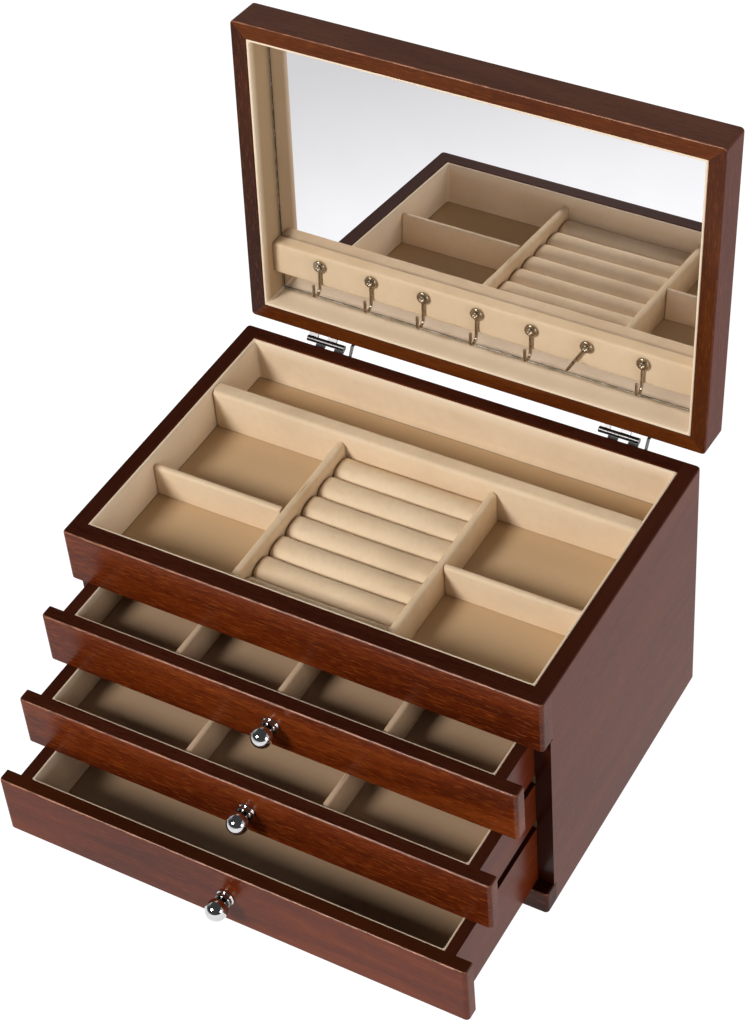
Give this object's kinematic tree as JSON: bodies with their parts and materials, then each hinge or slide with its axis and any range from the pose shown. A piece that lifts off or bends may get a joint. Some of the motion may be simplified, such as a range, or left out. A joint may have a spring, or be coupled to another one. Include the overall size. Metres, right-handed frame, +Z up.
{
  "type": "jewellery box",
  "caption": "Wooden jewellery box with a lift-up mirrored lid, hanging hooks, a velvet tray with ring rolls and a stack of lined pull-out drawers with ball knobs.",
  "frame": {"origin": "on the ground under the middle of the box's outer limits, with the lid open and the drawers out", "axes": "+X to the box's right seen from the front, +Y towards the hinged back, +Z up"},
  "size_m": [0.29, 0.3436, 0.3694],
  "materials": {
    "case_wood": "dark red-brown stain under satin lacquer, fine open grain",
    "board_wood": "plain thin board",
    "tray_velvet": "beige velvet",
    "drawer_velvet": "taupe velvet",
    "mirror_glass": "bevelled mirror",
    "knob_chrome": "polished",
    "hook_nickel": "nickel wire",
    "screw_steel": "plated",
    "hinge_steel": "plated, dulled",
    "foot_rubber": "matt"
  },
  "bodies": {
    "case": {"case_left_side": "case_wood", "case_right_side": "case_wood", "case_front_rail": "case_wood", "case_base_rail": "case_wood", "case_back_panel": "case_wood", "case_base_board": "board_wood", "lower_shelf": "board_wood", "upper_shelf": "board_wood", "tray_board": "board_wood", "feet": "foot_rubber", "tray_lining": "tray_velvet", "tray_cross_divider": "tray_velvet", "tray_long_dividers": "tray_velvet", "tray_short_dividers": "tray_velvet", "ring_rolls": "tray_velvet", "case_hinge_leaves": "hinge_steel", "hinge_pins": "hinge_steel"},
    "lid": {"lid_front_rail": "case_wood", "lid_back_rail": "case_wood", "lid_left_rail": "case_wood", "lid_right_rail": "case_wood", "lid_top_panel": "case_wood", "lid_mirror": "mirror_glass", "lid_lining": "tray_velvet", "hook_bar": "tray_velvet", "hook_screws": "screw_steel", "lid_hinge_leaves": "hinge_steel"},
    "drawer_top": {"drawer_top_front": "case_wood", "drawer_top_left_side": "case_wood", "drawer_top_right_side": "case_wood", "drawer_top_back": "case_wood", "drawer_top_bottom": "board_wood", "drawer_top_lining": "drawer_velvet", "drawer_top_dividers": "drawer_velvet", "drawer_top_knob": "knob_chrome", "drawer_top_knob_screw": "screw_steel"},
    "drawer_middle": {"drawer_middle_front": "case_wood", "drawer_middle_left_side": "case_wood", "drawer_middle_right_side": "case_wood", "drawer_middle_back": "case_wood", "drawer_middle_bottom": "board_wood", "drawer_middle_lining": "drawer_velvet", "drawer_middle_dividers": "drawer_velvet", "drawer_middle_knob": "knob_chrome", "drawer_middle_knob_screw": "screw_steel"},
    "drawer_bottom": {"drawer_bottom_front": "case_wood", "drawer_bottom_left_side": "case_wood", "drawer_bottom_right_side": "case_wood", "drawer_bottom_back": "case_wood", "drawer_bottom_bottom": "board_wood", "drawer_bottom_lining": "drawer_velvet", "drawer_bottom_knob": "knob_chrome", "drawer_bottom_knob_screw": "screw_steel"},
    "hook_1": {"hook_1": "hook_nickel"},
    "hook_2": {"hook_2": "hook_nickel"},
    "hook_3": {"hook_3": "hook_nickel"},
    "hook_4": {"hook_4": "hook_nickel"},
    "hook_5": {"hook_5": "hook_nickel"},
    "hook_6": {"hook_6": "hook_nickel"},
    "hook_7": {"hook_7": "hook_nickel"}
  },
  "joints": [
    {"name": "lid_hinge", "type": "hinge", "parent": "case", "child": "lid", "pos_m": [0, 0.13359, 0.172], "axis": [-1, 0, 0], "range_deg": [-94.2, 0]},
    {"name": "drawer_top_slide", "type": "slide", "parent": "case", "child": "drawer_top", "axis": [0, -1, 0], "range_m": [-0.0301, 0.0999]},
    {"name": "drawer_middle_slide", "type": "slide", "parent": "case", "child": "drawer_middle", "axis": [0, -1, 0], "range_m": [-0.0616, 0.0684]},
    {"name": "drawer_bottom_slide", "type": "slide", "parent": "case", "child": "drawer_bottom", "axis": [0, -1, 0], "range_m": [-0.0909, 0.0391]},
    {"name": "hook_1_swivel", "type": "hinge", "parent": "lid", "child": "hook_1", "pos_m": [-0.102, 0.14608, 0.21671], "axis": [0, -0.9973, 0.0732], "range_deg": [-60, 60]},
    {"name": "hook_2_swivel", "type": "hinge", "parent": "lid", "child": "hook_2", "pos_m": [-0.068, 0.14608, 0.21671], "axis": [0, -0.9973, 0.0732], "range_deg": [-60, 60]},
    {"name": "hook_3_swivel", "type": "hinge", "parent": "lid", "child": "hook_3", "pos_m": [-0.034, 0.14608, 0.21671], "axis": [0, -0.9973, 0.0732], "range_deg": [-60, 60]},
    {"name": "hook_4_swivel", "type": "hinge", "parent": "lid", "child": "hook_4", "pos_m": [0, 0.14608, 0.21671], "axis": [0, -0.9973, 0.0732], "range_deg": [-60, 60]},
    {"name": "hook_5_swivel", "type": "hinge", "parent": "lid", "child": "hook_5", "pos_m": [0.034, 0.14608, 0.21671], "axis": [0, -0.9973, 0.0732], "range_deg": [-60, 60]},
    {"name": "hook_6_swivel", "type": "hinge", "parent": "lid", "child": "hook_6", "pos_m": [0.068, 0.14608, 0.21671], "axis": [0, -0.9973, 0.0732], "range_deg": [-30, 90]},
    {"name": "hook_7_swivel", "type": "hinge", "parent": "lid", "child": "hook_7", "pos_m": [0.102, 0.14608, 0.21671], "axis": [0, -0.9973, 0.0732], "range_deg": [-60, 60]}
  ]
}
